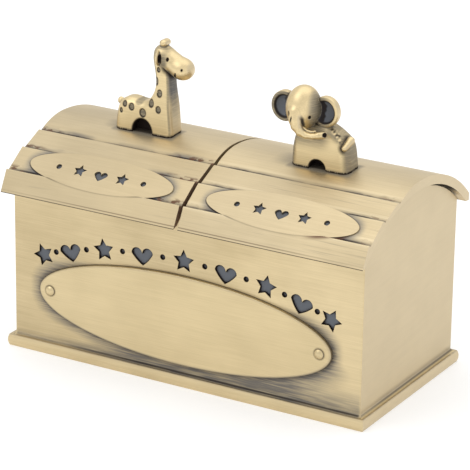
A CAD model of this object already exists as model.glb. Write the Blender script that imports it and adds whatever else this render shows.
"""Looks of the baby tooth box: antique brass finish, the two cast figures and the felt."""

import math
from functools import partialmethod

import bmesh
import bpy
import numpy as np
from mathutils import Matrix, Vector


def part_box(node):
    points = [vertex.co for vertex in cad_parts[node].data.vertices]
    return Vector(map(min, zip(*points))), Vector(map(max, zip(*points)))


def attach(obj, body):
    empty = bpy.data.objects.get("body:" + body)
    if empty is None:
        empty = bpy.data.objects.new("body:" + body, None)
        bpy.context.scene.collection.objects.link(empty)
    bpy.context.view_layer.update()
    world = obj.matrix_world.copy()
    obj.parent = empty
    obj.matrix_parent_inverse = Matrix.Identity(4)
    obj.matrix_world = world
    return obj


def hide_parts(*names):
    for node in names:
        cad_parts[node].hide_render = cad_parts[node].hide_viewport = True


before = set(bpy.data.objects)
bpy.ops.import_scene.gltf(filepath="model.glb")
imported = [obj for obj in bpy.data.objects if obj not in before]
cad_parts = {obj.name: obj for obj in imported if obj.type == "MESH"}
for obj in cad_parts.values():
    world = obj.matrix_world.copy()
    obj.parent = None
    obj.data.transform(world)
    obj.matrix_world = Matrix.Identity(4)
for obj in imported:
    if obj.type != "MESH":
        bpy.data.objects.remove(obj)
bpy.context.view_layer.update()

MM = 0.001
FRAME_DIGITS = 4


def corners(node):
    """A node's lowest and highest corners, in millimetres."""
    return [tuple(round(float(v) / MM, FRAME_DIGITS) for v in corner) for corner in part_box(node)]


# Sizes and places from the frame, in millimetres: x to the right, y to the rear and z up
PLAQUE_LOW, PLAQUE_HIGH = corners("plaque")
PLAQUE_HALF = (PLAQUE_HIGH[0], (PLAQUE_HIGH[2] - PLAQUE_LOW[2]) / 2)
PLAQUE_HEIGHT = (PLAQUE_HIGH[2] + PLAQUE_LOW[2]) / 2
RIVETS_LOW, RIVETS_HIGH = corners("plaque_rivets")
RIVET_PLACE = RIVETS_HIGH[0] - (RIVETS_HIGH[2] - RIVETS_LOW[2]) / 2
BODY_LOW, BODY_HIGH = corners("body_shell")
PLINTH_TOP = BODY_LOW[2]
WALL_FRONT = -PLAQUE_HIGH[1]
FLARE = -BODY_LOW[1] - WALL_FRONT
WALL_END = BODY_HIGH[0] - FLARE
LID_CROWN = corners("left_lid")[1][2]

# The lids' top: the arc behind the crown, the tighter one in front of it, and the eaves
LID_RADIUS = 40.5
BROW_RADIUS = 19.98
LID_AXIS = LID_CROWN - LID_RADIUS
LID_FOOT = 42.45

# Shader building
PLAIN_DETAIL, RICH_DETAIL, FULL_DETAIL = 2.0, 3.0, 4.0
NOOK_RAYS, NOOK_SPAN = 8, (0.92, 0.6)


class Knob:
    """A shader value. Arithmetic on it adds math nodes to its tree."""

    def __init__(self, tree, socket):
        self.tree, self.socket = tree, socket

    def apply(self, operation, *others):
        node = self.tree.nodes.new("ShaderNodeMath")
        node.operation = operation
        for socket, value in zip(node.inputs, (self, *others)):
            feed(self.tree, socket, value)
        return Knob(self.tree, node.outputs[0])

    __add__ = partialmethod(apply, "ADD")
    __sub__ = partialmethod(apply, "SUBTRACT")
    __mul__ = partialmethod(apply, "MULTIPLY")
    __truediv__ = partialmethod(apply, "DIVIDE")
    size = partialmethod(apply, "ABSOLUTE")
    root = partialmethod(apply, "SQRT")
    lower = partialmethod(apply, "MINIMUM")
    upper = partialmethod(apply, "MAXIMUM")

    def rest(self):
        """What a share leaves of the whole."""
        return self * -1.0 + 1.0

    def ramp(self, start, end, low=0.0, high=1.0):
        """Goes smoothly from low at start to high at end."""
        node = self.tree.nodes.new("ShaderNodeMapRange")
        node.interpolation_type = "SMOOTHSTEP"
        for name, value in (("From Min", start), ("From Max", end), ("To Min", low), ("To Max", high)):
            node.inputs[name].default_value = value
        feed(self.tree, node.inputs["Value"], self)
        return Knob(self.tree, node.outputs["Result"])

    def band(self, start, full, fade, end):
        """Rises from 0 at start to 1 at full, and falls from 1 at fade to 0 at end."""
        return self.ramp(start, full) * self.ramp(end, fade)


def feed(tree, socket, value):
    """Links a value into a socket, or sets it there when it is a plain number."""
    if isinstance(value, Knob):
        tree.links.new(value.socket, socket)
    else:
        socket.default_value = value


def most(first, *others):
    """The strongest of some shader values at each place."""
    for other in others:
        first = first.upper(other)
    return first


class Finish:
    """One material, with its place on the object in millimetres as x, y and z."""

    def __init__(self, name):
        self.material = bpy.data.materials.new(name)
        self.material.use_nodes = True
        self.tree = self.material.node_tree
        self.shader = self.tree.nodes["Principled BSDF"]
        place = self.tree.nodes.new("ShaderNodeTexCoord")
        self.place = place.outputs["Object"]
        self.x, self.y, self.z = [part / MM for part in self.parts(self.place)]
        self.facing = self.parts(place.outputs["Normal"])
        self.endwise = self.facing[0].size()

    def parts(self, vector):
        node = self.tree.nodes.new("ShaderNodeSeparateXYZ")
        self.tree.links.new(vector, node.inputs[0])
        return [Knob(self.tree, socket) for socket in node.outputs]

    def noise(self, grain, detail=PLAIN_DETAIL, turn=0.0):
        """Noise whose grains have that size in metres, turned about the X axis."""
        mapping = self.tree.nodes.new("ShaderNodeMapping")
        mapping.vector_type = "TEXTURE"
        mapping.inputs["Scale"].default_value = grain
        mapping.inputs["Rotation"].default_value = (turn, 0.0, 0.0)
        self.tree.links.new(self.place, mapping.inputs["Vector"])
        node = self.tree.nodes.new("ShaderNodeTexNoise")
        node.inputs["Scale"].default_value = 1.0
        node.inputs["Detail"].default_value = detail
        self.tree.links.new(mapping.outputs[0], node.inputs["Vector"])
        return Knob(self.tree, node.outputs[0])

    def stored(self, name):
        """A number kept on each point of the mesh."""
        node = self.tree.nodes.new("ShaderNodeAttribute")
        node.attribute_name = name
        return Knob(self.tree, node.outputs["Fac"])

    def nooks(self, reach):
        """1 where other parts of the same piece close a place in, 0 in the open."""
        node = self.tree.nodes.new("ShaderNodeAmbientOcclusion")
        node.only_local = True
        node.samples = NOOK_RAYS
        node.inputs["Distance"].default_value = reach
        return Knob(self.tree, node.outputs["AO"]).ramp(*NOOK_SPAN)

    def mix(self, share, first, second):
        """Colours or values from first to second as share goes from 0 to 1."""
        node = self.tree.nodes.new("ShaderNodeMix")
        colours = any(isinstance(v, tuple) or getattr(v, "colour", False) for v in (first, second))
        node.data_type, kind = ("RGBA", "RGBA") if colours else ("FLOAT", "VALUE")
        sockets = [s for s in node.inputs if s.type == kind]
        if colours:
            sockets.insert(0, node.inputs[0])
        for socket, value in zip(sockets, (share, first, second)):
            feed(self.tree, socket, (*value, 1.0) if isinstance(value, tuple) else value)
        made = Knob(self.tree, next(s for s in node.outputs if s.type == kind))
        made.colour = colours
        return made

    def bump(self, height, distance, strength):
        node = self.tree.nodes.new("ShaderNodeBump")
        node.inputs["Strength"].default_value = strength
        node.inputs["Distance"].default_value = distance
        feed(self.tree, node.inputs["Height"], height)
        self.tree.links.new(node.outputs[0], self.shader.inputs["Normal"])

    def set(self, **values):
        sockets = {socket.name.lower().replace(" ", "_"): socket for socket in self.shader.inputs}
        for name, value in values.items():
            feed(self.tree, sockets[name], value)


# Brushed brass. Grains are in metres, on most faces and on those that look to the ends.
FINE_GRAIN, END_FINE_GRAIN = (0.011, 0.00016, 0.00016), (0.0002, 0.007, 0.0002)
BROAD_GRAIN, END_BROAD_GRAIN = (0.045, 0.0011, 0.0011), (0.001, 0.03, 0.0014)
CLOUD_GRAIN = (0.017, 0.012, 0.012)
END_BRUSH_TURN = 0.07
END_FACING = (0.6, 0.8)
END_TINT, END_TINT_SHARE = (0.645, 0.543, 0.375), 0.6
FINE_SHARE, BROAD_SHARE, CLOUD_SHARE = 0.42, 0.18, 0.45
TONE_SPAN = (0.275, 0.775)
BRUSH_ROUGHNESS, STAIN_ROUGHNESS = 0.16, 0.25
METAL_LEVELS, SPECULAR_LEVELS = (1.0, 0.45), (0.5, 0.12)
FINE_BUMP_SHARE, BROAD_BUMP_SHARE = 0.7, 0.3
BRUSH_HEIGHT, BRUSH_STRENGTH = 0.00008, 0.22
STAINS = {"patina": (0.12, 0.12, 0.128), "recess": (0.14, 0.15, 0.168), "rust": (0.16, 0.075, 0.045),
          "soot": (0.02, 0.014, 0.012), "gleam": (0.95, 0.83, 0.58), "honey": (0.6, 0.47, 0.25),
          "umber": (0.125, 0.117, 0.1)}


def brass(name, light, deep, roughness, stains):
    """Brushed antique brass. stains gives the share of each stain, the first laid on first."""
    f = Finish(name)
    sideways = f.endwise.ramp(*END_FACING)
    fine = f.mix(sideways, f.noise(FINE_GRAIN), f.noise(END_FINE_GRAIN, turn=END_BRUSH_TURN))
    broad = f.mix(sideways, f.noise(BROAD_GRAIN), f.noise(END_BROAD_GRAIN, turn=END_BRUSH_TURN))
    cloud = f.noise(CLOUD_GRAIN, RICH_DETAIL)
    tone = (fine * FINE_SHARE + broad * BROAD_SHARE + cloud * CLOUD_SHARE).ramp(*TONE_SPAN)
    colour = f.mix(sideways * END_TINT_SHARE, f.mix(tone, deep, light), END_TINT)
    shares = stains(f)
    for stain, share in shares.items():
        colour = f.mix(share, colour, STAINS[stain])
    dull = most(*shares.values())
    f.set(base_color=colour, metallic=dull.ramp(0.0, 1.0, *METAL_LEVELS),
          roughness=fine * BRUSH_ROUGHNESS + dull * STAIN_ROUGHNESS + roughness,
          specular_ior_level=dull.ramp(0.0, 1.0, *SPECULAR_LEVELS))
    f.bump(fine * FINE_BUMP_SHARE + broad * BROAD_BUMP_SHARE, BRUSH_HEIGHT, BRUSH_STRENGTH)
    return f.material


STREAK_GRAIN, STREAK_SPAN = (0.008, 0.00042, 0.00042), (0.3, 0.62)
LEAST_SLOPE = 0.001


def streaks(f, low, high):
    """Uneven strength of a stain, drawn out along the brushing."""
    return f.noise(STREAK_GRAIN, FULL_DETAIL).ramp(*STREAK_SPAN, low, high)


def slant(a, b):
    return (a * a + b * b).root()


def egg_ring(u, v, half_u, half_v):
    """How far a place lies outside an ellipse, in millimetres."""
    near = slant(u / half_u, v / half_v)
    return near * (near - 1.0) / slant(u / half_u ** 2, v / half_v ** 2).upper(LEAST_SLOPE)


# Stains of the body. A span for ramp gives where a stain starts and is full, and may give its strength at
# both. A band gives where it starts, is full, fades and ends. Places are in millimetres.
FRONT_FACING, FRONT_DEPTH, FRONT_WIDTH = (-0.3, -0.6), (-20.0, -23.0), (50.5, 49.2)
FLARE_SPAN = (0.03, 0.1)
PANEL_DEPTH, PANEL_WIDTH = (0.95, 0.65), (49.6, 48.4)
HALO_LOW, HALO_ENDS = (19.0, 12.0), (24.0, 41.0)
HALO_BELOW, HALO_BESIDE, HALO_LEAST = (-10.0, 30.0, 3.0, 5.0), (-10.0, 10.0, 3.6, 2.4), 1.0
HALO_FADE, HALO_WEAK_SHARE = (1.0, -0.1), 0.4
FOOT_HEIGHT, FOOT_STRENGTH = (-46.0, 30.0, 2.8, 8.0), (-48.0, 0.0, 0.5, 0.95)
FOOT_END = (30.0, 48.0, 1.0, 0.75)
OVERLAP_SHARE, DARKEST_SHARE, FOOT_STREAK_SHARES = 0.8, 0.88, (0.55, 1.0)
SIDE_FOOT, SIDE_FACING, SIDE_FOOT_STRENGTH = (2.4, 0.6), (0.5, 0.8), (-24.0, -10.0, 0.15, 0.34)
INSIDE_WIDTH, INSIDE_DEPTH, INSIDE_FLOOR = (48.5, 48.2), (22.6, 22.3), (3.8, 4.2, 0.0, 0.5)
LEFT_WASH, END_WASH_SHARE = (-5.0, 30.0, 0.1, 0.0), 0.065
MOTIF_TOP, MOTIF_FLOOR, MOTIF_EDGE = (40.5, 39.5), (0.09, 0.25), (0.02, 0.09, 0.3, 0.45)
MOTIF_EDGE_SHARE, MOTIF_NOOK = 0.85, 0.0009
JOINT, JOINT_STRENGTH = (0.05, 0.15, 0.3, 0.55), (-46.0, -12.0, 0.35, 0.85)
SIDE_JOINT, SIDE_JOINT_STRENGTH = (0.04, 0.14, 0.3, 0.6), (-24.0, -8.0, 0.4, 0.57)
PLATE_LINE, PLATE_SHADE = (0.3, 0.05, 0.0, 0.75), (1.6, 0.0, 0.0, 0.45)
FRONT_GLEAM = (8.0, 38.0, 0.0, 0.13)


def body_patina(f, ring, low, ends):
    """Dark finish on the body: round the plaque, above the plinth, on the inside, and a thin wash."""
    across = f.x.size().ramp(*FRONT_WIDTH)
    flare = (f.y.size() - WALL_FRONT).ramp(*FLARE_SPAN)
    front = f.facing[1].ramp(*FRONT_FACING).upper(flare) * f.y.ramp(*FRONT_DEPTH) * across
    reach = (low * f.x.ramp(*HALO_BELOW)).upper(ends * f.x.ramp(*HALO_BESIDE)) + HALO_LEAST
    strength = low.upper(ends) * (1.0 - HALO_WEAK_SHARE) + HALO_WEAK_SHARE
    halo = (ring / reach).ramp(*HALO_FADE) * strength
    rise = f.z - PLINTH_TOP
    foot = (rise / f.x.ramp(*FOOT_HEIGHT)).ramp(1.0, 0.0) * f.x.ramp(*FOOT_STRENGTH) * f.x.ramp(*FOOT_END)
    side_foot = rise.ramp(*SIDE_FOOT) * f.endwise.ramp(*SIDE_FACING) * f.y.ramp(*SIDE_FOOT_STRENGTH)
    inside = f.x.size().ramp(*INSIDE_WIDTH) * f.y.size().ramp(*INSIDE_DEPTH) * f.z.ramp(*INSIDE_FLOOR)
    dark = most(halo, foot, (halo + foot) * OVERLAP_SHARE).lower(DARKEST_SHARE)
    wash = f.x.ramp(*LEFT_WASH).upper(f.endwise.ramp(*END_FACING) * END_WASH_SHARE)
    streaked = dark * streaks(f, *FOOT_STREAK_SHARES) * front
    return most(streaked, side_foot, inside, wash), front * f.x.ramp(*FRONT_GLEAM)


def body_stains(f):
    ring = egg_ring(f.x, f.z - PLAQUE_HEIGHT, *PLAQUE_HALF)
    low, ends = f.z.ramp(*HALO_LOW), f.x.size().ramp(*HALO_ENDS)
    patina, gleam = body_patina(f, ring, low, ends)
    depth = f.y + WALL_FRONT
    panel = depth.ramp(*PANEL_DEPTH) * f.x.size().ramp(*PANEL_WIDTH)
    motif = panel * f.z.ramp(*MOTIF_TOP)
    sunk, edge = motif * depth.ramp(*MOTIF_FLOOR), motif * depth.band(*MOTIF_EDGE)
    out_front, out_side = f.y.size() - WALL_FRONT, f.x.size() - WALL_END
    joint = out_front.band(*JOINT) * f.x.size().ramp(*FRONT_WIDTH) * f.x.ramp(*JOINT_STRENGTH)
    side_joint = out_side.band(*SIDE_JOINT) * f.y.ramp(*SIDE_JOINT_STRENGTH)
    plate = ring.ramp(*PLATE_LINE).upper(ring.ramp(*PLATE_SHADE) * low.upper(ends)) * panel
    soot = most(edge * MOTIF_EDGE_SHARE, joint, side_joint, plate, sunk * f.nooks(MOTIF_NOOK))
    return {"gleam": gleam, "patina": patina, "recess": sunk, "soot": soot}


# Each lid's middle, its figure's feet in plan, and how its crevices are corroded, rubbed and shaded
LEFT_LID = {"middle": -25.77, "feet": (-24.6, -1.35), "feet_half": (8.4, 2.9), "split_rust": 1.0,
            "end_rust": 0.9, "rubbed": 0.04, "shade": 2.6}
RIGHT_LID = {"middle": 25.77, "feet": (26.2, -1.4), "feet_half": (8.0, 3.4), "split_rust": 0.15,
             "end_rust": 0.4, "rubbed": 0.22, "shade": 1.6}
# The oval field, with its middle across and up, and what lies round it
OVAL_MIDDLE, OVAL_HALF, OVAL_TILT = (-21.84, 49.756), (20.9, 5.45), math.radians(34.5)
OVAL_EDGE, OVAL_ENDS, LID_ENDS = (-0.05, 0.05), (9.0, 16.0), (25.0, 17.0, 0.45, 1.0)
FIELD_EDGE, FIELD_DEPTH, FIELD_NOOK, FIELD_NOOK_SHARE = (-0.25, -0.35), (-0.07, -0.14), 0.0005, 0.7
RIM, RIM_ENDS_SHARE, RIM_SHARE, RIM_TIP = (-0.1, 0.02, 0.1, 0.42), 0.6, 0.25, (19.5, 15.0, 0.4, 1.0)
WEDGE, WEDGE_DEPTH = (2.0, 0.0, 0.0, 0.8), (-25.6, -25.0, -18.0, -17.2)
WEDGE_STREAK_SHARES = (0.75, 1.0)
DRIP, DRIP_WIDTH, DRIP_SIDE = (-0.05, 0.05, 0.2, 1.0), (33.0, 38.0, 43.0, 46.0), (0.0, -2.5, 0.0, 0.75)
# The crevices between the planks: each one's place and least strength, then what lies round it
CREVICES = ((-24.9, 0.2), (-17.7, 0.35), (-10.2, 0.5))
CREVICE_START, CREVICE_FULL = (-0.6, -0.5), 0.1
CREVICE_LINE, CREVICE_NOOK = (0.75, 0.4, 0.0, 0.9), (-0.6, -0.5, 0.6, 1.9)
UPPER_EDGE, LOWER_EDGE = (0.9, 1.4, 1.6, 2.1), (-1.3, -0.9, -0.62, -0.5)
PATCH_GRAIN, PATCH_SPAN = (0.008, 0.004, 0.004), (0.35, 0.6, 0.4, 1.0)
CRUMB_GRAIN, CRUMB_SPAN = (0.00198, 0.0009, 0.0009), (0.5, 0.6)
SPLIT_RUST, END_RUST = (14.0, 5.0), (44.0, 49.0)
# Round a figure's feet: a soft shade, a longer one on their left, and the dark place below them
FEET_HEIGHT, FEET_SHADE, BELOW_FEET = (53.0, 54.0), (1.6, 0.0, 0.0, 0.55), (-0.2, -1.0, 0.0, 0.85)
LEE, LEE_DEPTH = (-0.5, 0.2, 0.0, 7.0), (1.5, -1.5, 0.0, 0.45)
# The rest of a lid: its inside, its planks, its eaves, its ends and the split
TOP_FACING, HOLLOW_FACING, HOLLOW_REACH = (0.75, 0.45), (0.0, -2.0), (39.2, 38.7)
TAIL_WIDTH, TAIL_DEPTH, LID_INSIDE_SHARE = (49.2, 49.8), (19.0, 22.5), 0.5
PLANK_GRAIN, PLANK_GRAIN_SPAN = (0.016, 0.0004, 0.0004), (0.5, 0.8, 0.0, 0.3)
PLANK_HAZE, PLANK_DEPTH = (20.0, 42.0, 0.09, 0.0), (-9.8, -10.4)
LID_WASH, LID_WASH_END, LID_STREAK_SHARES = (-30.0, -6.0, 0.16, 0.035), (20.0, 40.0, 1.0, 0.0), (0.7, 1.0)
HONEY_FACING, HONEY_STRENGTH = (-0.25, -0.55), (-4.0, 10.0, 0.24, 0.1)
LIP, BEAD, BEAD_STRENGTH = (0.22, 0.1, 0.0, 0.85), (0.5, 0.6, 0.75, 0.85), (46.0, 20.0, 0.15, 0.6)
GAP_WIDTH, GAP_FACING, GAP_STRENGTH = (0.9, 0.6), (0.8, 0.97), (-18.0, -5.0, 1.0, 0.1)
END_WIDTH, END_DEPTH = (48.6, 50.2, 0.0, 0.92), (-18.0, -4.0, 20.0, 22.6)
LID_SOOT_SHARES = {"pits": 0.5, "bead": 0.6, "gap": 0.3}
LID_RUST_SHARES = {"pits": 0.85, "bead": 0.4, "gap": 0.75}


def oval_place(f, u):
    """A place on a lid: how far outside the oval, how far across it, and how high above its face."""
    across, up = f.y - OVAL_MIDDLE[0], f.z - OVAL_MIDDLE[1]
    v = across * math.cos(OVAL_TILT) + up * math.sin(OVAL_TILT)
    height = up * math.cos(OVAL_TILT) - across * math.sin(OVAL_TILT)
    return egg_ring(u, v, *OVAL_HALF), v, height


def crevice_stains(f, ends, beside, shade_reach):
    """Shade above the crevices, the dark line in them, their rubbed edges, and where they hold dirt."""
    uneven = f.noise(PATCH_GRAIN, RICH_DETAIL).ramp(*PATCH_SPAN)
    shades, lines, edges, nooks = [], [], [], []
    for crevice, least in CREVICES:
        rise = f.y - crevice
        here = (ends * (1.0 - least) + least) * beside * rise.ramp(*CREVICE_START) * uneven
        shades.append(rise.ramp(shade_reach, CREVICE_FULL) * here)
        lines.append(rise.ramp(*CREVICE_LINE) * here)
        edges.append(rise.band(*UPPER_EDGE).upper(rise.band(*LOWER_EDGE)))
        nooks.append(rise.band(*CREVICE_NOOK))
    return [most(*found) for found in (shades, lines, edges, nooks)]


def feet_stains(f, place, half):
    """Shade on a lid round its figure's feet, and the dark place below them."""
    wide, deep = (f.x - place[0]).size() - half[0], (f.y - place[1]).size() - half[1]
    clear = slant(wide.upper(0.0), deep.upper(0.0))
    aside = f.x * -1.0 + (place[0] - half[0])
    lee = aside.band(*LEE) * deep.ramp(*LEE_DEPTH)
    high = f.z.ramp(*FEET_HEIGHT)
    return clear.ramp(*FEET_SHADE).upper(lee) * high, wide.upper(deep).ramp(*BELOW_FEET) * high


def lid_stains(lid):
    """Gives the function that makes one lid's stains."""
    def stains(f):
        u, split, axis_up, eaves = f.x - lid["middle"], f.x.size(), f.z - LID_AXIS, f.z - LID_FOOT
        hollow = (f.facing[1] * f.y + f.facing[2] * axis_up).ramp(*HOLLOW_FACING)
        inner = hollow * slant(f.y, axis_up).ramp(*HOLLOW_REACH)
        outer = f.endwise.ramp(*TOP_FACING) * inner.rest()
        ring, v, height = oval_place(f, u)
        beside = ring.ramp(*OVAL_EDGE)
        ends = u.size().ramp(*OVAL_ENDS) * u.size().ramp(*LID_ENDS)
        shade, line, rubbed, nook = crevice_stains(f, ends, beside, lid["shade"])
        round_feet, below_feet = feet_stains(f, lid["feet"], lid["feet_half"])

        grain = f.noise(PLANK_GRAIN, RICH_DETAIL).ramp(*PLANK_GRAIN_SPAN) * beside
        grain = grain.upper(f.x.ramp(*PLANK_HAZE)) * f.y.ramp(*PLANK_DEPTH)
        wash = f.x.ramp(*LID_WASH) * f.x.ramp(*LID_WASH_END)
        tail = split.ramp(*TAIL_WIDTH) * f.y.ramp(*TAIL_DEPTH)
        patina = most(shade * streaks(f, *LID_STREAK_SHARES), round_feet, grain, wash) * outer
        patina = patina.upper(inner * tail.rest() * LID_INSIDE_SHARE)

        sunk = ring.ramp(*FIELD_EDGE) * height.ramp(*FIELD_DEPTH) * outer
        wedge = ring.ramp(*WEDGE) * f.y.band(*WEDGE_DEPTH) * ends * beside * outer
        wedge = wedge * streaks(f, *WEDGE_STREAK_SHARES)

        rough = (split.ramp(*SPLIT_RUST) * lid["split_rust"]).upper(split.ramp(*END_RUST) * lid["end_rust"])
        pits = rough * nook * beside * f.noise(CRUMB_GRAIN).ramp(*CRUMB_SPAN)
        lip, bead = eaves.ramp(*LIP), eaves.band(*BEAD) * split.ramp(*BEAD_STRENGTH)
        rim = ring.band(*RIM) * (ends * RIM_ENDS_SHARE + RIM_SHARE) * u.ramp(*RIM_TIP)
        gap = split.ramp(*GAP_WIDTH) * f.endwise.ramp(*GAP_FACING) * f.y.ramp(*GAP_STRENGTH)
        end = hollow * split.ramp(*END_WIDTH) * f.y.band(*END_DEPTH)
        share = LID_SOOT_SHARES
        soot = most(line, rim, lip, below_feet, bead * share["bead"], pits * share["pits"]) * outer
        soot = most(soot, end, gap * share["gap"], sunk * f.nooks(FIELD_NOOK) * FIELD_NOOK_SHARE)

        drip = ring.band(*DRIP) * f.x.band(*DRIP_WIDTH) * v.ramp(*DRIP_SIDE)
        share = LID_RUST_SHARES
        rust = most(drip, bead * share["bead"], pits * share["pits"]) * outer
        return {"honey": outer * f.facing[1].ramp(*HONEY_FACING) * f.x.ramp(*HONEY_STRENGTH),
                "gleam": rubbed * beside * outer * lid["rubbed"], "patina": patina,
                "recess": sunk.upper(wedge), "soot": soot, "rust": rust.upper(gap * share["gap"])}
    return stains


# Stains of the plinth, the plaque, its rivets and the figures
TREAD, TREAD_STREAK_SHARES = (2.75, 3.0, 3.2, 3.6), (0.1, 0.35)
PLAQUE_RIM, PLAQUE_RIM_STRENGTH, PLAQUE_WASH = (-0.7, -0.05), (20.0, 8.0, 0.2, 0.6), (-38.0, 5.0, 0.035, 0.0)
RIVET_RING, RIVET_FOOT = (1.8, 1.45, 0.0, 0.4), (0.3, 0.1, 0.0, 0.75)
GLINT_GRAIN, GLINT_SPAN, FIGURE_PATINA_SHARE = (0.0035, 0.0035, 0.0003), (0.4, 0.75, 1.0, 0.6), 0.92


def plinth_stains(f):
    return {"patina": f.z.band(*TREAD) * streaks(f, *TREAD_STREAK_SHARES)}


def plaque_stains(f):
    across, up = f.x.size() - RIVET_PLACE, f.z - PLAQUE_HEIGHT
    rim = egg_ring(f.x, up, *PLAQUE_HALF).ramp(*PLAQUE_RIM) * f.z.ramp(*PLAQUE_RIM_STRENGTH)
    rivet = slant(across, up).ramp(*RIVET_RING)
    return {"patina": rim.upper(f.x.ramp(*PLAQUE_WASH)), "soot": rivet}


def rivet_stains(f):
    return {"soot": (f.y * -1.0 + PLAQUE_LOW[1]).ramp(*RIVET_FOOT)}


def figure_stains(f):
    glints = f.noise(GLINT_GRAIN, FULL_DETAIL).ramp(*GLINT_SPAN)
    return {"umber": f.stored("patina") * glints * FIGURE_PATINA_SHARE, "recess": f.stored("recess"),
            "soot": f.stored("soot")}


# Steel and felt, with their grains in metres
STEEL_DARK, STEEL_LIGHT = (0.38, 0.37, 0.36), (0.62, 0.62, 0.63)
TURNED_GRAIN, STEEL_CLOUD_GRAIN, STEEL_SPAN = (0.00018, 0.00018, 0.004), (0.004, 0.004, 0.004), (0.3, 0.7)
TURNED_ROUGHNESS, STEEL_ROUGHNESS, TURNED_HEIGHT, TURNED_STRENGTH = 0.2, 0.24, 0.00005, 0.2
FELT_DARK, FELT_LIGHT = (0.016, 0.016, 0.02), (0.07, 0.068, 0.072)
FIBRE_GRAIN, MATTED_GRAIN = (0.0009, 0.00016, 0.0002), (0.0003, 0.0011, 0.0003)
FELT_CLOUD_GRAIN, FLECK_SHARE, FELT_CLOUD_SHARE, FELT_SPAN = (0.006, 0.006, 0.006), 0.8, 0.3, (0.35, 0.75)
FLECK_ROUGHNESS, FELT_ROUGHNESS, FELT_SHEEN, FELT_SHEEN_ROUGHNESS = 0.1, 0.86, 0.35, 0.5
FELT_HEIGHT, FELT_STRENGTH = 0.0003, 0.7


def steel(name):
    f = Finish(name)
    turned = f.noise(TURNED_GRAIN, RICH_DETAIL)
    tone = (turned + f.noise(STEEL_CLOUD_GRAIN, RICH_DETAIL)) / 2.0
    f.set(base_color=f.mix(tone.ramp(*STEEL_SPAN), STEEL_DARK, STEEL_LIGHT), metallic=1.0,
          roughness=turned * TURNED_ROUGHNESS + STEEL_ROUGHNESS)
    f.bump(turned, TURNED_HEIGHT, TURNED_STRENGTH)
    return f.material


def felt(name):
    f = Finish(name)
    fleck = (f.noise(FIBRE_GRAIN, FULL_DETAIL) + f.noise(MATTED_GRAIN, FULL_DETAIL)) / 2.0
    tone = fleck * FLECK_SHARE + f.noise(FELT_CLOUD_GRAIN, RICH_DETAIL) * FELT_CLOUD_SHARE
    f.set(base_color=f.mix(tone.ramp(*FELT_SPAN), FELT_DARK, FELT_LIGHT),
          roughness=fleck * FLECK_ROUGHNESS + FELT_ROUGHNESS, sheen_weight=FELT_SHEEN,
          sheen_roughness=FELT_SHEEN_ROUGHNESS)
    f.bump(fleck, FELT_HEIGHT, FELT_STRENGTH)
    return f.material


# Sculpting, in millimetres. A form is a function that gives each point's distance outside its surface.
def ramp(value, start, end):
    t = np.clip((value - start) / (end - start), 0.0, 1.0)
    return t * t * (3.0 - 2.0 * t)


def band(value, start, full, fade, end):
    return ramp(value, start, full) * ramp(value, end, fade)


def far(v):
    return np.sqrt((v * v).sum(-1))


def join(first, second, reach):
    """Two forms run together over that reach."""
    share = np.clip(0.5 + 0.5 * (second - first) / reach, 0.0, 1.0)
    return second + (first - second) * share - reach * share * (1.0 - share)


def carve(form, tool, reach):
    """A form less a tool, with its edge softened over that reach."""
    return -join(-form, tool, reach)


TINY = 1e-6


def egg(p, centre, radii, axes=None):
    q = p - np.array(centre)
    if axes is not None:
        q = q @ np.array(axes)
    radii = np.array(radii)
    near = far(q / radii)
    return near * (near - 1.0) / np.maximum(far(q / radii ** 2), TINY)


def limb(p, start, end, start_radius, end_radius):
    start, end = np.array(start), np.array(end)
    along = end - start
    share = np.clip(((p - start) @ along) / (along @ along), 0.0, 1.0)
    return far(p - start - share[..., None] * along) - (start_radius + (end_radius - start_radius) * share)


def chain(p, joints, reach):
    """A run of limbs through joints, each a place and its radius."""
    form = None
    for (start, wide), (end, narrow) in zip(joints, joints[1:]):
        piece = limb(p, start, end, wide, narrow)
        form = piece if form is None else join(form, piece, reach)
    return form


NEAR_SHARE, NEXT_SHARE = 0.75, 0.25
OUTLINE_ROUNDS = 3


def soften(outline_corners):
    """An outline with its corners cut in rounds, so that it runs smoothly."""
    points = np.array(outline_corners, float)
    for _ in range(OUTLINE_ROUNDS):
        after = np.roll(points, -1, axis=0)
        cuts = [NEAR_SHARE * points + NEXT_SHARE * after, NEXT_SHARE * points + NEAR_SHARE * after]
        points = np.stack(cuts, 1).reshape(-1, 2)
    return points


def outline(u, v, points):
    """Distance to a closed outline, negative inside."""
    nearest = np.full(u.shape, np.inf)
    inside = np.zeros(u.shape, bool)
    for (au, av), (bu, bv) in zip(points, np.roll(points, -1, axis=0)):
        du, dv = bu - au, bv - av
        pu, pv = u - au, v - av
        share = np.clip((pu * du + pv * dv) / (du * du + dv * dv), 0.0, 1.0)
        nearest = np.minimum(nearest, (pu - share * du) ** 2 + (pv - share * dv) ** 2)
        if bv != av:
            inside ^= ((av > v) != (bv > v)) & (u < du * (v - av) / dv + au)
    return np.where(inside, -1.0, 1.0) * np.sqrt(nearest)


def slab(flat, side, edge):
    """A flat form of some thickness with rounded edges."""
    a, b = flat + edge, side + edge
    return np.minimum(np.maximum(a, b), 0.0) + np.hypot(np.maximum(a, 0.0), np.maximum(b, 0.0)) - edge


def tilted(z_turn, y_turn):
    """Columns of a form's own axes, turned about Z and leaned about Y, in degrees."""
    turn = Matrix.Rotation(math.radians(z_turn), 3, "Z") @ Matrix.Rotation(math.radians(y_turn), 3, "Y")
    return [list(row) for row in turn]


def on_lid(p):
    """Distance below the top of the lid, positive below it."""
    radius = np.where(p[..., 1] < 0.0, BROW_RADIUS, LID_RADIUS)
    return radius - np.hypot(p[..., 1], p[..., 2] - (LID_CROWN - radius))


def folded(p, middle):
    """Points of the far half brought over to the near one, about a middle plane."""
    q = p.copy()
    q[..., 1] = -np.abs(p[..., 1] - middle)
    return q


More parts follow.
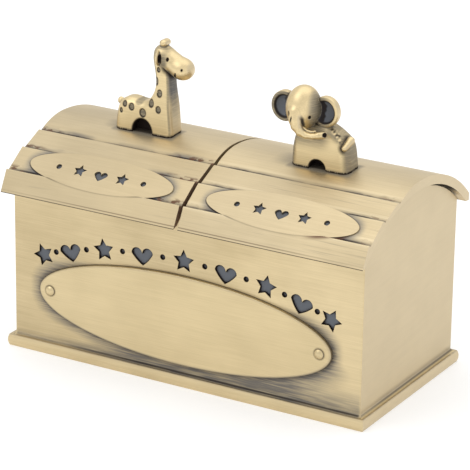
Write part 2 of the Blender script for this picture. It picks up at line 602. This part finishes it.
def long_egg(q, centre, radii, half):
    """An egg drawn out by that half length across the middle of folded points."""
    shorter = q.copy()
    shorter[..., 1] = np.minimum(q[..., 1] + half, 0.0)
    return egg(shorter, centre, radii)


def nearest_of(p, forms):
    """Distance to the nearest of some separate forms."""
    return np.minimum.reduce([form(p, *sizes) for form, sizes in forms.values()])


def joined(form, p, parts):
    """A form with its parts added, each over its own reach."""
    for part, sizes, reach in parts.values():
        form = join(form, part(p, *sizes), reach)
    return form


# For both figures: the web between the legs, how deep they stand in the lid, and how soft the cuts are
WEB, SINK = 0.5, 0.05
ARCH_SEAM, HOLLOW_SEAM = 0.3, 0.1


def arch(p, centre, half, middle):
    """The hollow between a figure's legs, with a thin web left in the middle plane."""
    flat = (np.hypot((p[..., 0] - centre[0]) / half[0], (p[..., 2] - centre[1]) / half[1]) - 1.0) * half[0]
    return np.maximum(flat, WEB - np.abs(p[..., 1] - middle))


def patches(values, table):
    """The strongest of some patches at each point. A patch has a strength, and spans or bands of values."""
    strongest = 0.0
    for strength, spans in table.values():
        share = strength
        for name, span in spans.items():
            share = share * (band if len(span) == 4 else ramp)(values[name], *span)
        strongest = np.maximum(strongest, share)
    return strongest


def place_values(p, normal):
    """A surface's places and facings by name, for patches."""
    names = ("x", "y", "z", "facing_x", "facing_y", "facing_z")
    return dict(zip(names, (*p.T, *normal.T)))


# The giraffe: its outline and spots in the side view, and its other forms by place and size. A part that
# runs into the rest ends with how far.
GIRAFFE_MIDDLE = -1.35
GIRAFFE_SIDE = soften((
    (-33.25, 53.6), (-33.15, 57.6), (-32.8, 60.4), (-32.4, 62.1), (-31.7, 63.5), (-30.5, 64.3), (-29.0, 64.6),
    (-27.4, 64.4), (-25.9, 64.1), (-24.4, 64.3), (-23.3, 65.1), (-22.5, 66.3), (-21.9, 67.7), (-21.6, 69.6),
    (-21.8, 72.0), (-22.4, 74.6), (-22.6, 76.6), (-20.8, 78.0), (-18.6, 77.2), (-17.4, 74.0), (-17.2, 70.0),
    (-16.85, 66.0), (-16.4, 61.0), (-15.85, 53.6)))
GIRAFFE_SPOTS = ((-20.32, 73.27, 0.45, 0.62), (-20.95, 70.2, 0.5, 1.0), (-19.91, 67.16, 0.72, 0.95),
                 (-22.15, 64.32, 0.72, 1.05), (-20.03, 62.98, 0.72, 0.9), (-24.58, 61.41, 0.9, 1.12),
                 (-27.92, 62.45, 0.76, 0.9), (-29.95, 62.94, 0.62, 0.75), (-30.98, 61.11, 0.42, 0.6))
SPOT_DEPTH, SPOT_SEAM = 0.24, 0.16
GIRAFFE_HALF, NECK_THINNING, NECK_HEIGHT = 2.95, 0.65, (62.5, 70.0)
GIRAFFE_EDGE, NECK_EDGE_LOSS, NECK_PLACE = 1.9, 0.55, (-24.0, -20.0)
GIRAFFE_ARCH = ((-24.75, 56.3), (2.85, 3.45), GIRAFFE_MIDDLE)
GIRAFFE_EAR_RIM = ((-20.3, -2.6, 76.4), (0.4, 1.15, 1.85))
GIRAFFE_SKULL, GIRAFFE_HEAD_SEAM = ((-20.15, 0.0, 76.85), (2.55, 2.5, 2.6)), 0.4
GIRAFFE_FACE = {
    "cheeks": (limb, ((-18.6, 0.0, 75.7), (-15.2, 0.0, 74.1), 2.75, 2.55), 0.8),
    "muzzle": (egg, ((-14.5, 0.0, 73.8), (3.0, 2.85, 2.75)), 0.9),
    "horn": (limb, ((-20.1, -0.7, 78.4), (-19.9, -0.7, 79.5), 0.6, 0.6), 0.3),
    "knobs": (long_egg, ((-19.8, 0.0, 79.95), (1.05, 0.95, 0.88), 0.75), 0.25),
    "rim of the ear": (egg, GIRAFFE_EAR_RIM, 0.1)}
GIRAFFE_TAIL, GIRAFFE_TAIL_SEAM = ((-32.7, -1.45, 62.65), (0.9, 0.8, 0.95)), 0.3
GIRAFFE_HOLLOWS = {
    "eye": (egg, ((-17.62, -2.6, 76.5), (0.34, 0.5, 0.55))),
    "nostril": (egg, ((-13.42, -2.6, 74.36), (0.22, 0.4, 0.3))),
    "corner of the mouth": (limb, ((-15.1, -2.75, 73.3), (-15.65, -2.5, 72.1), 0.12, 0.42)),
    "inside of the ear": (egg, ((-19.75, -2.8, 76.3), (0.36, 0.6, 1.4)))}


def giraffe_spots(p):
    """Distance in the side view to the nearest spot, negative inside one."""
    x, z = p[..., 0], p[..., 2]
    return np.minimum.reduce([(np.hypot((x - u) / wide, (z - w) / tall) - 1.0) * min(wide, tall)
                              for u, w, wide, tall in GIRAFFE_SPOTS])


def giraffe_hollows(p):
    return nearest_of(folded(p, GIRAFFE_MIDDLE), GIRAFFE_HOLLOWS)


def giraffe_head(p):
    q = folded(p, GIRAFFE_MIDDLE)
    return joined(egg(q, *GIRAFFE_SKULL), q, GIRAFFE_FACE)


def giraffe(p):
    x, y, z = p[..., 0], p[..., 1], p[..., 2]
    sides = np.abs(y - GIRAFFE_MIDDLE) - (GIRAFFE_HALF - NECK_THINNING * ramp(z, *NECK_HEIGHT))
    edge = GIRAFFE_EDGE - NECK_EDGE_LOSS * ramp(x, *NECK_PLACE)
    form = slab(outline(x, z, GIRAFFE_SIDE), sides, edge)
    form = carve(form, np.maximum(giraffe_spots(p), -sides - SPOT_DEPTH), SPOT_SEAM)
    form = carve(form, arch(p, *GIRAFFE_ARCH), ARCH_SEAM)
    form = join(form, giraffe_head(p), GIRAFFE_HEAD_SEAM)
    form = join(form, egg(p, *GIRAFFE_TAIL), GIRAFFE_TAIL_SEAM)
    form = carve(form, giraffe_hollows(p), HOLLOW_SEAM)
    return np.maximum(form, on_lid(p) - SINK)


# Stains of the giraffe, as patches. OFF_HEAD leaves the head out.
OFF_HEAD = (0.02, 0.2)
EAR_SIDE_PLACE, EAR_SIDE_FLATNESS = (-18.9, 75.7), 0.55
DIP_PLACE, DIP_FLATNESS = (-26.0, 64.0), 1.2
SPOT_LINE_INSET = 0.04
EAR_RIM_SPAN = (0.2, 0.05)
CHEST_HEIGHTS, CHEST_SHARES = (56.0, 60.0, 64.0, 68.0), (0.12, 0.3, 0.65, 0.95)
CHEST_FAR, CHEST_FAR_LOSS = (-1.5, 1.0), 0.4
GIRAFFE_CHEST = {"chest": (1.0, {"facing_x": (0.5, 0.85), "head": OFF_HEAD, "x": (-22.0, -20.0),
                                 "y": (-4.0, -2.7)})}
GIRAFFE_PATINA = {
    "nape": (0.75, {"facing_x": (-0.1, -0.7), "z": (67.0, 72.0)}),
    "beside the ear": (0.85, {"ear_side": (1.7, 0.5), "aside": (0.4, 0.7)}),
    "crown": (0.7, {"facing_z": (0.5, 0.8), "x": (-17.0, -18.8), "z": (76.5, 77.5, 78.6, 79.3)}),
    "dip of the back": (0.65, {"dip": (1.4, 0.7), "facing_z": (0.2, 0.5)}),
    "rear end": (0.55, {"facing_x": (-0.35, -0.85), "z": (62.0, 60.0)}),
    "spots": (0.95, {"spots": (0.04, -0.1), "flank": (0.15, 0.45)}),
    "edge of the chest": (0.6, {"facing_x": (0.25, 0.45, 0.6, 0.8), "facing_y": (-0.2, -0.5),
                                "x": (-20.0, -18.0), "head": OFF_HEAD})}
GIRAFFE_RECESS = {
    "front of the neck": (0.6, {"facing_x": (0.4, 0.8), "z": (64.5, 68.0), "x": (-21.0, -19.0),
                                 "head": OFF_HEAD})}
GIRAFFE_SOOT = {
    "lines round the spots": (0.85, {"spot_line": (0.2, 0.06), "flank": (0.15, 0.45)}),
    "arch": (1.0, {"arch": (0.5, 0.1)}),
    "hollows": (1.0, {"hollows": (0.12, 0.0)}),
    "crease of the jaw": (1.0, {"head": (*OFF_HEAD, 0.2, 1.5), "x": (-20.4, -18.4), "z": (69.5, 71.0)})}


def giraffe_marks(p, normal):
    """Dark finish, sunk colour and soot on the giraffe's surface."""
    values = place_values(p, normal)
    x, z, spots, aside = p[:, 0], p[:, 2], giraffe_spots(p), np.abs(normal[:, 1])
    values.update(
        head=giraffe_head(p), spots=spots, spot_line=np.abs(spots + SPOT_LINE_INSET), aside=aside,
        flank=aside + np.maximum(normal[:, 2], 0.0), arch=arch(p, *GIRAFFE_ARCH), hollows=giraffe_hollows(p),
        ear_side=np.hypot(x - EAR_SIDE_PLACE[0], (z - EAR_SIDE_PLACE[1]) * EAR_SIDE_FLATNESS),
        dip=np.hypot(x - DIP_PLACE[0], (z - DIP_PLACE[1]) * DIP_FLATNESS))
    chest = patches(values, GIRAFFE_CHEST) * np.interp(z, CHEST_HEIGHTS, CHEST_SHARES)
    chest = chest * (1.0 - CHEST_FAR_LOSS * ramp(p[:, 1], *CHEST_FAR))
    ear_rim = ramp(egg(folded(p, GIRAFFE_MIDDLE), *GIRAFFE_EAR_RIM), *EAR_RIM_SPAN)
    patina = np.maximum(chest, patches(values, GIRAFFE_PATINA)) * (1.0 - ear_rim)
    return patina, patches(values, GIRAFFE_RECESS), patches(values, GIRAFFE_SOOT)


# The elephant: its outline in the front view, and its other forms as for the giraffe
ELEPHANT_MIDDLE = -1.4
ELEPHANT_FRONT = soften((
    (18.05, 53.6), (18.15, 58.0), (18.35, 61.0), (18.8, 63.6), (19.9, 65.9), (22.0, 67.0), (26.0, 67.3),
    (28.0, 67.0), (29.6, 66.3), (31.2, 65.3), (32.7, 64.2), (33.6, 62.9), (34.1, 60.4), (34.45, 57.0),
    (34.6, 53.6)))
ELEPHANT_HALF, BACK_THINNING, BACK_HEIGHT, ELEPHANT_EDGE = 3.5, 0.3, (60.0, 66.0), 2.3
ELEPHANT_ARCH = ((25.87, 56.15), (2.25, 2.25), ELEPHANT_MIDDLE)
ELEPHANT_TRUNK = (((21.0, -7.1, 70.4), 1.95), ((21.2, -7.8, 68.8), 1.65), ((21.7, -8.1, 67.3), 1.35),
                  ((22.7, -8.1, 66.0), 1.05), ((24.1, -7.9, 65.3), 0.8), ((26.0, -7.65, 65.3), 0.72),
                  ((27.4, -7.35, 65.6), 0.85), ((28.4, -6.8, 65.75), 0.95))
ELEPHANT_LIP = (((22.4, -7.3, 67.6), 0.25), ((23.2, -7.3, 66.75), 0.3), ((24.1, -7.2, 66.25), 0.32),
                ((25.4, -7.1, 66.1), 0.3), ((26.3, -7.0, 66.4), 0.25))
TRUNK_CREASE = (((20.95, -9.3, 70.2), 0.05), ((20.8, -9.5, 69.4), 0.2), ((20.75, -9.55, 68.5), 0.12))
HEAD_MIDDLE = (21.3, -3.9, 70.9)
ELEPHANT_PARTS = {
    "head": (egg, (HEAD_MIDDLE, (4.4, 4.4, 5.6), tilted(13.0, 4.0)), 0.2),
    "trunk": (chain, (ELEPHANT_TRUNK, 0.3), 0.5),
    "lip": (chain, (ELEPHANT_LIP, 0.1), 0.1),
    "tail": (limb, ((33.5, -2.0, 63.9), (33.15, -4.5, 62.5), 1.0, 0.72), 0.15)}
ELEPHANT_HOLLOWS = {
    "right eye": (egg, ((24.4, -6.5, 69.55), (0.3, 0.45, 0.48))),
    "left eye": (egg, ((19.7, -8.5, 70.2), (0.42, 0.5, 0.6))),
    "tip of the trunk": (egg, ((29.1, -7.15, 65.95), (0.6, 0.7, 0.55))),
    "crease of the trunk": (chain, (TRUNK_CREASE, 0.1))}
# The ears: each one's middle and its lean in degrees, and the sizes of the cup and of its hollow
ELEPHANT_EARS = (((15.8, -2.9, 70.15), 0.0), ((27.05, -2.9, 70.45), 8.0))
EAR_OUTLINE, EAR_HALF, EAR_EDGE, EAR_SEAM = (3.65, 1.0, 3.9), 1.05, 0.5, 0.3
EAR_HOLLOW, EAR_MOUTH, EAR_HOLLOW_SEAM = ((0.0, -1.35, 0.0), (2.8, 1.7, 3.05)), (2.76, 3.0), 0.25


def elephant_ear(p, centre, lean):
    """A cup that opens to the front, its hollow, and how far inside its mouth a point is as a share."""
    q = (p - np.array(centre)) @ np.array(tilted(0.0, lean))
    flat = egg(q * np.array((1.0, 0.0, 1.0)), (0.0, 0.0, 0.0), EAR_OUTLINE)
    cup = slab(flat, np.abs(q[..., 1]) - EAR_HALF, EAR_EDGE)
    inward = 1.0 - np.hypot(q[..., 0] / EAR_MOUTH[0], q[..., 2] / EAR_MOUTH[1])
    return cup, egg(q, *EAR_HOLLOW), inward


def elephant(p):
    x, y, z = p[..., 0], p[..., 1], p[..., 2]
    sides = np.abs(y - ELEPHANT_MIDDLE) - (ELEPHANT_HALF - BACK_THINNING * ramp(z, *BACK_HEIGHT))
    form = slab(outline(x, z, ELEPHANT_FRONT), sides, ELEPHANT_EDGE)
    form = carve(form, arch(p, *ELEPHANT_ARCH), ARCH_SEAM)
    for ear in ELEPHANT_EARS:
        cup, hollow, _ = elephant_ear(p, *ear)
        form = carve(join(form, cup, EAR_SEAM), hollow, EAR_HOLLOW_SEAM)
    form = joined(form, p, ELEPHANT_PARTS)
    form = carve(form, nearest_of(p, ELEPHANT_HOLLOWS), HOLLOW_SEAM)
    return np.maximum(form, on_lid(p) - SINK)


# Stains of the elephant, as patches. CLEAR leaves the head, the trunk and the lip out.
CLEAR = (0.05, 0.3)
EAR_WITHIN, EAR_INNER, EAR_RIM, EAR_RIM_SHARE = (0.2, 0.02), (-0.02, 0.06), (-0.06, 0.0, 0.08, 0.2), 0.9
EAR_SHADOW, EAR_SHADOW_HEIGHT, EAR_SHADOW_SHARE, LEFT_EAR_SHARE = (1.6, 1.15), (66.0, 67.5), 0.9, 0.7
# Waves of the shadow's edge: height, waves along z and start
SHADOW_WAVES = ((0.16, 1.9, 0.6), (0.1, 4.7, 0.0))
ROUGH_LINE, ROUGH_PATINA_SHARE = ((29.3, -3.2, 66.4), (32.0, -4.2, 64.0), 0.0, 0.0), 0.6
ROUGH_PLACE = {"rough": (1.0, {"rough_line": (1.1, 0.4), "clear": CLEAR, "tail": (0.0, 0.15)})}
GRIT_WAVES = ((3.1, 1.3, 4.7), (6.9, 0.4, -2.3), (-1.9, 2.1, 7.3), (4.4, -5.2, 2.0))
GRIT_BRIGHT, GRIT_DARK, GRIT_SOOT_SHARE = (-0.1, -0.35), (0.12, 0.4), 0.8
OFF_TAIL = (0.0, 0.2)
ELEPHANT_PATINA = {
    "below the chin": (0.9, {"facing_y": (-0.4, -0.8), "clear": CLEAR, "z": (60.0, 64.5), "x": (30.0, 26.0)}),
    "rump": (0.7, {"facing_z": (0.15, 0.5), "clear": CLEAR, "z": (62.6, 64.2, 67.0, 67.6),
                   "x": (26.5, 28.5)}),
    "right end": (0.75, {"facing_x": (0.2, 0.75), "z": (65.0, 63.5), "x": (29.0, 31.0)}),
    "left end": (0.85, {"facing_x": (-0.15, -0.7), "z": (66.0, 64.0), "x": (24.0, 22.0)}),
    "cheek": (0.8, {"facing_x": (0.55, 0.9), "z": (65.5, 67.0), "head": (0.3, 0.0)})}
ELEPHANT_SOOT = {
    "arch": (1.0, {"arch": (0.4, 0.1)}),
    "hollows": (1.0, {"hollows": (0.12, 0.0)}),
    "behind the head": (0.9, {"head": (1.1, 0.1), "clear": CLEAR, "y": (-6.0, -5.0), "z": EAR_SHADOW_HEIGHT}),
    "corner of the mouth": (0.85, {"mouth": (0.75, 0.25), "x": (21.6, 22.4), "z": (70.0, 69.0)}),
    "below the tip": (0.9, {"trunk": (1.1, 0.1), "clear": CLEAR, "x": (25.0, 26.5), "y": (-6.5, -5.5)}),
    "beside the tail": (0.85, {"tail": (0.0, 0.12, 0.2, 1.4), "x": (33.6, 32.6)})}


def elephant_marks(p, normal):
    """Dark finish, sunk colour and soot on the elephant's surface."""
    x, z = p[:, 0], p[:, 2]
    head, trunk, lip, tail = [part(p, *sizes) for part, sizes, _ in ELEPHANT_PARTS.values()]
    values = place_values(p, normal)
    values.update(
        head=head, tail=tail, trunk=trunk, clear=np.minimum.reduce([head, trunk, lip]),
        mouth=np.maximum(np.abs(head), np.abs(trunk)), rough_line=limb(p, *ROUGH_LINE),
        arch=arch(p, *ELEPHANT_ARCH), hollows=nearest_of(p, ELEPHANT_HOLLOWS))
    recess, rim = np.zeros(x.shape), np.zeros(x.shape)
    for ear in ELEPHANT_EARS:
        _, hollow, inward = elephant_ear(p, *ear)
        within = ramp(hollow, *EAR_WITHIN) * ramp(values["clear"], *CLEAR)
        recess = np.maximum(recess, within * ramp(inward, *EAR_INNER))
        rim = np.maximum(rim, within * band(inward, *EAR_RIM))
    rough = patches(values, ROUGH_PLACE)
    grit = sum(np.sin(p @ np.array(wave)) for wave in GRIT_WAVES) / len(GRIT_WAVES)
    patina = patches(values, ELEPHANT_PATINA) * ramp(tail, *OFF_TAIL)
    patina = np.maximum(patina, rough * ROUGH_PATINA_SHARE) * (1.0 - rough * ramp(grit, *GRIT_BRIGHT))
    wave = sum(height * np.sin(count * z + start) for height, count, start in SHADOW_WAVES)
    shadow = ramp(head + wave, *EAR_SHADOW) * np.where(x > HEAD_MIDDLE[0], 1.0, LEFT_EAR_SHARE)
    shadow = shadow * recess * ramp(z, *EAR_SHADOW_HEIGHT)
    soot = np.maximum.reduce([patches(values, ELEPHANT_SOOT), rim * EAR_RIM_SHARE, shadow * EAR_SHADOW_SHARE,
                              rough * ramp(grit, *GRIT_DARK) * GRIT_SOOT_SHARE])
    return patina, recess, soot


# Meshing
def add_object(name, data):
    made = bpy.data.objects.new(name, data)
    bpy.context.scene.collection.objects.link(made)
    return made


SETTLE_ROUNDS, SETTLE_REACH, LEAST_LEAN = 2, 0.03, 0.2


def net(field, low, high, step):
    """Points and four-sided faces of a form's surface on a grid."""
    axes = [np.arange(a, b + step, step) for a, b in zip(low, high)]
    value = field(np.stack(np.meshgrid(*axes, indexing="ij"), axis=-1))
    cells = np.array(value.shape)
    total, count, faces = np.zeros((cells.prod(), 3)), np.zeros(cells.prod()), []
    unit = np.eye(3, dtype=int)
    for axis in range(3):
        second, third = unit[(axis + 1) % 3], unit[(axis + 2) % 3]
        here = np.argwhere(np.diff((value < 0.0).astype(np.int8), axis=axis))
        first, last = value[tuple(here.T)], value[tuple((here + unit[axis]).T)]
        crossing = np.array(low) + step * (here + unit[axis] * (first / (first - last))[:, None])
        ring = np.stack([here - second - third, here - third, here, here - second], axis=1)
        numbers = np.ravel_multi_index(tuple(np.moveaxis(ring, -1, 0)), cells)
        np.add.at(total, numbers.ravel(), np.repeat(crossing, 4, axis=0))
        np.add.at(count, numbers.ravel(), 1.0)
        faces.append(np.where((first < 0.0)[:, None], numbers, numbers[:, ::-1]))
    faces = np.concatenate(faces)
    used, faces = np.unique(faces, return_inverse=True)
    return total[used] / count[used][:, None], faces.reshape(-1, 4)


def slope(field, points, reach):
    steps = reach * np.eye(3)
    return np.stack([(field(points + s) - field(points - s)) / (2.0 * reach) for s in steps], axis=-1)


def settle(field, points):
    """Moves points on to a form's surface."""
    for _ in range(SETTLE_ROUNDS):
        lean = slope(field, points, SETTLE_REACH)
        points = points - (field(points) / np.maximum((lean * lean).sum(-1), LEAST_LEAN))[:, None] * lean
    return points


def sculpt(name, field, low, high, step, finer=True):
    """A mesh object of a form, with its points on the surface."""
    points, faces = net(field, low, high, step)
    mesh = bpy.data.meshes.new(name)
    mesh.from_pydata(settle(field, points).tolist(), [], faces.tolist())
    if finer:
        made = bmesh.new()
        made.from_mesh(mesh)
        bmesh.ops.subdivide_edges(made, edges=made.edges[:], cuts=1, use_grid_fill=True)
        made.to_mesh(mesh)
        made.free()
    points = np.zeros(len(mesh.vertices) * 3)
    mesh.vertices.foreach_get("co", points)
    points = settle(field, points.reshape(-1, 3))
    mesh.vertices.foreach_set("co", (points * MM).ravel())
    mesh.polygons.foreach_set("use_smooth", [True] * len(mesh.polygons))
    mesh.update()
    return add_object(name, mesh), points


def keep(piece, name, values):
    """Stores one number for each point of a mesh."""
    piece.data.attributes.new(name, "FLOAT", "POINT").data.foreach_set("value", np.clip(values, 0.0, 1.0))


def cavity(field, points, reach):
    """How hollow a surface is round each point, from -1 on sharp edges to 1 in creases."""
    here, bend = field(points), 0.0
    for s in reach * np.eye(3):
        bend = bend + field(points + s) + field(points - s) - 2.0 * here
    return np.clip(-bend / reach, -1.0, 1.0)


# Camera and light: angles in radians, places in millimetres for the camera and metres for the lights
CAMERA_TURN, CAMERA_RISE, CAMERA_ROLL = 0.5241, 0.357, 0.0146
CAMERA_TARGET, CAMERA_DISTANCE = (0.3088, 0.0, 32.2685), 709.08
CAMERA_SENSOR, CAMERA_LENS, CAMERA_CLIP = 36.0, 215.27, (0.05, 20.0)
WORLD_STRENGTH = 0.9
LIGHT_AIM = (0.0, 0.0, 0.04)
# Each light's place, size and power
SOFTBOXES = {"key": ((-0.45, -0.55, 0.75), 0.7, 1.5), "fill": ((0.6, -0.5, 0.35), 0.4, 0.15),
             "top": ((0.0, 0.25, 1.4), 2.0, 6.0)}
WHITE = (1.0, 1.0, 1.0, 1.0)
FLOOR_HALF, FLOOR_GRAIN, FLOOR_ROUGHNESS, FLOOR_GLOW = 3.0, (0.3, 0.3, 0.3), 0.9, 0.36
FLOOR_DARK, FLOOR_LIGHT = (0.68, 0.68, 0.68), (0.7, 0.7, 0.7)


def stand_camera():
    """The camera at the photograph's place, with the photograph's small roll."""
    data = bpy.data.cameras.new("camera")
    data.sensor_width, data.lens = CAMERA_SENSOR, CAMERA_LENS
    data.clip_start, data.clip_end = CAMERA_CLIP
    camera = add_object("camera", data)
    place = Matrix.Translation(Vector(CAMERA_TARGET) * MM)
    for turn, axis in ((CAMERA_TURN, "Z"), (math.pi / 2 - CAMERA_RISE, "X"), (CAMERA_ROLL, "Z")):
        place = place @ Matrix.Rotation(turn, 4, axis)
    camera.matrix_world = place @ Matrix.Translation((0.0, 0.0, CAMERA_DISTANCE * MM))
    bpy.context.scene.camera = camera


def light_studio():
    world = bpy.data.worlds.new("studio")
    world.use_nodes = True
    background = world.node_tree.nodes["Background"]
    background.inputs["Color"].default_value = WHITE
    background.inputs["Strength"].default_value = WORLD_STRENGTH
    bpy.context.scene.world = world
    bpy.context.scene.view_settings.view_transform = "Standard"
    for name, (place, size, power) in SOFTBOXES.items():
        data = bpy.data.lights.new(name, "AREA")
        data.shape, data.size, data.energy = "DISK", size, power
        lamp = add_object(name, data)
        lamp.location = place
        lamp.rotation_euler = (Vector(LIGHT_AIM) - Vector(place)).to_track_quat("-Z", "Y").to_euler()


def lay_floor():
    mesh = bpy.data.meshes.new("floor")
    corner_signs = ((-1, -1), (1, -1), (1, 1), (-1, 1))
    mesh.from_pydata([(i * FLOOR_HALF, j * FLOOR_HALF, 0.0) for i, j in corner_signs], [], [(0, 1, 2, 3)])
    floor = add_object("floor", mesh)
    f = Finish("floor_paper")
    f.set(base_color=f.mix(f.noise(FLOOR_GRAIN), FLOOR_DARK, FLOOR_LIGHT), roughness=FLOOR_ROUGHNESS,
          emission_color=WHITE, emission_strength=FLOOR_GLOW)
    mesh.materials.append(f.material)


# The object
FIGURE_STEP, NORMAL_REACH = 0.3, 0.05
CREASE_REACH, CREASE_SPAN = 0.3, (0.05, 0.5)
FOLD_REACH, FOLD_SPAN, FOLD_SHARE = 0.9, (0.1, 0.6), 0.8
FEET_PATINA, FEET_SOOT = (1.0, 0.1), (0.7, 0.3)
NICK_WAVES, NICK_SPAN, NICK_HEIGHT = ((7.1, 3.0, 0.0), (4.3, -6.1, 2.0)), (0.3, 0.55), (0.15, 0.35)


def repaint(material, *nodes):
    for node in nodes:
        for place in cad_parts[node].material_slots:
            place.material = material


def cast_figure(name, field, marks, body, low, high, material):
    """A cast figure on its lid, with dark finish in its creases and at its feet."""
    piece, points = sculpt(name + "_cast", field, low, high, FIGURE_STEP)
    lean = slope(field, points, NORMAL_REACH)
    patina, recess, soot = marks(points, lean / np.maximum(far(lean), TINY)[:, None])
    crease = ramp(cavity(field, points, CREASE_REACH), *CREASE_SPAN)
    fold = ramp(cavity(field, points, FOLD_REACH), *FOLD_SPAN) * FOLD_SHARE
    above = -on_lid(points)
    keep(piece, "patina", np.maximum.reduce([patina, crease, fold, ramp(above, *FEET_PATINA)]))
    keep(piece, "recess", recess)
    first_wave, second_wave = [np.sin(points @ np.array(wave)) for wave in NICK_WAVES]
    nicks = ramp(first_wave * second_wave, *NICK_SPAN) * ramp(above, *NICK_HEIGHT)
    keep(piece, "soot", np.maximum(soot, ramp(above, *FEET_SOOT) * (1.0 - nicks)))
    piece.data.materials.append(material)
    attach(piece, body)
    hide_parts(name)


FELT_STEP, FELT_MARGIN, FELT_EDGE, FELT_INSET, NAP_HEIGHT = 0.45, 1.0, 0.4, 0.05, 0.025
# The nap: each pair of waves gives its counts along x and y
NAP_WAVES = (((1.7, 0.6), (-0.4, 1.3)), ((4.1, -2.3), (1.9, 3.7)))
# A liner's flat area less its two notches, in square millimetres, and the notches' place in its corners
NOTCH_INSET, NOTCH_RADIUS = 1.5, 3.1


def felt_form(low, high, notches):
    """A felt pad in that box, with round notches in its corners and an uneven napped face."""
    low, high = np.array(low), np.array(high)
    middle, half = (low + high) / 2, (high - low) / 2

    def field(p):
        q = np.abs(p - middle) - half
        flat = np.maximum(q[..., 0], q[..., 1])
        for x, y in notches:
            flat = np.maximum(flat, NOTCH_RADIUS - np.hypot(p[..., 0] - x, p[..., 1] - y))
        nap = sum(np.sin(p[..., :2] @ np.array(first)) * np.sin(p[..., :2] @ np.array(second))
                  for first, second in NAP_WAVES)
        return slab(flat, q[..., 2], FELT_EDGE) + FELT_INSET + NAP_HEIGHT * nap
    return field


def lay_felt(name, outer_side, material):
    """A felt pad in its node's box. outer_side is the sign of x where it is notched, or 0."""
    low, high = corners(name)
    edge = high[0] if outer_side > 0 else low[0]
    notches = [(edge - outer_side * NOTCH_INSET, y) for y in (low[1] + NOTCH_INSET, high[1] - NOTCH_INSET)]
    form = felt_form(low, high, notches if outer_side else [])
    margin = np.full(3, FELT_MARGIN)
    piece, _ = sculpt(name + "_felt", form, low - margin, high + margin, FELT_STEP, finer=False)
    piece.data.materials.append(material)
    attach(piece, "box")
    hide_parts(name)


stand_camera()
light_studio()
lay_floor()

# Each brass's light and deep colour and its least roughness
BODY_BRASS = ((0.74, 0.602, 0.36), (0.55, 0.437, 0.248), 0.34)
PLINTH_BRASS = ((0.74, 0.605, 0.37), (0.58, 0.465, 0.27), 0.34)
LID_BRASS = ((0.73, 0.608, 0.396), (0.562, 0.462, 0.293), 0.4)
FIGURE_BRASS = ((0.835, 0.673, 0.392), (0.6, 0.482, 0.274), 0.31)
PLAQUE_BRASS = ((0.71, 0.58, 0.347), (0.576, 0.466, 0.27), 0.3)
repaint(brass("cast_brass_body", *BODY_BRASS, body_stains), "body_shell")
repaint(brass("cast_brass_plinth", *PLINTH_BRASS, plinth_stains), "partition", "base_plate")
repaint(brass("cast_brass_left_lid", *LID_BRASS, lid_stains(LEFT_LID)), "left_lid")
repaint(brass("cast_brass_right_lid", *LID_BRASS, lid_stains(RIGHT_LID)), "right_lid")
repaint(brass("plaque_brass_brushed", *PLAQUE_BRASS, plaque_stains), "plaque")
repaint(brass("plaque_brass_rivets", *PLAQUE_BRASS, rivet_stains), "plaque_rivets")
repaint(steel("steel_turned"), "base_screws", "giraffe_screws", "elephant_screws", "left_hinge_pin",
        "right_hinge_pin")
figure_brass = brass("figure_brass_worn", *FIGURE_BRASS, figure_stains)
cloth = felt("felt_black")

# The boxes that the figures' grids fill, in millimetres
GIRAFFE_GRID = ((-35.0, -6.5, 54.0), (-10.5, 4.0, 82.0))
ELEPHANT_GRID = ((10.5, -11.5, 54.0), (36.5, 3.5, 78.0))
cast_figure("giraffe", giraffe, giraffe_marks, "left_lid", *GIRAFFE_GRID, figure_brass)
cast_figure("elephant", elephant, elephant_marks, "right_lid", *ELEPHANT_GRID, figure_brass)
lay_felt("base_pad", 0, cloth)
lay_felt("left_liner", -1, cloth)
lay_felt("right_liner", 1, cloth)
